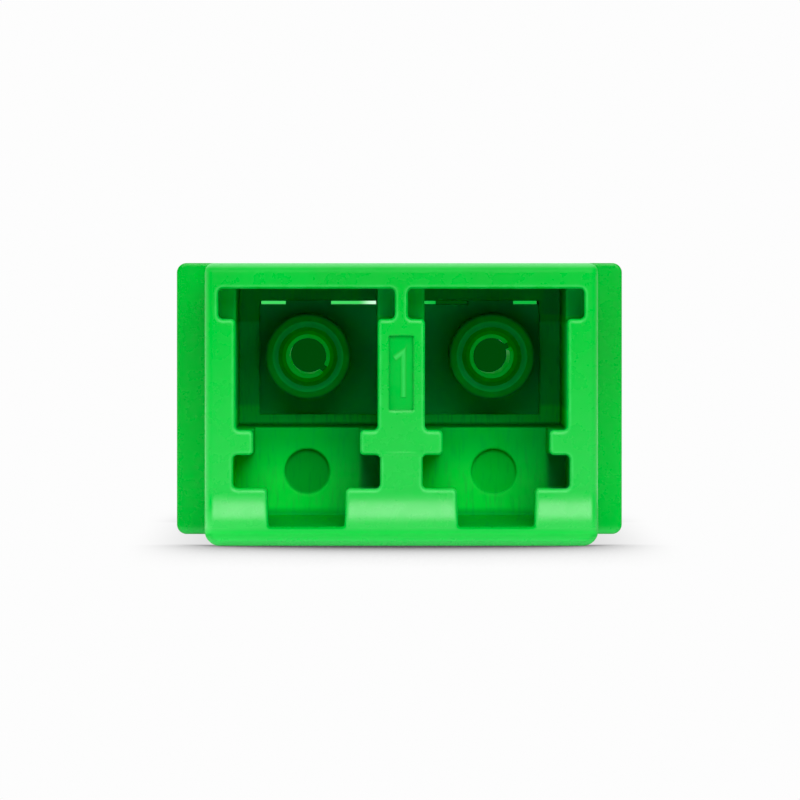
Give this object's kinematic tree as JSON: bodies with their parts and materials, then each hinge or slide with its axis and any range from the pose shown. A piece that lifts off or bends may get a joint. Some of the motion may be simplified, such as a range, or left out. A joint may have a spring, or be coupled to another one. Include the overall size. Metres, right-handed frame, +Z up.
{
  "type": "duplex fibre adapter",
  "caption": "Green moulded coupler for paired fibre plugs, with keyed ports at both ends, ceramic split sleeves inside, a flange and a spring clip for a panel.",
  "frame": {"origin": "on the surface that the latch side stands on, under the middle of the body, in the plane where the halves meet", "axes": "+X across the two ports, +Y along the fibres from the front ports to the rear ports, +Z up from the latch side"},
  "size_m": [0.0152, 0.0276, 0.0093],
  "materials": {
    "green_moulding": "satin moulded",
    "dark_green_moulding": "satin moulded",
    "zirconia": "ground and polished",
    "spring_steel": "cold rolled"
  },
  "bodies": {
    "root": {"front_housing": "green_moulding", "rear_housing": "green_moulding", "front_sleeve_holder": "dark_green_moulding", "rear_sleeve_holder": "dark_green_moulding", "left_split_sleeve": "zirconia", "right_split_sleeve": "zirconia", "panel_clip": "spring_steel"}
  },
  "joints": []
}
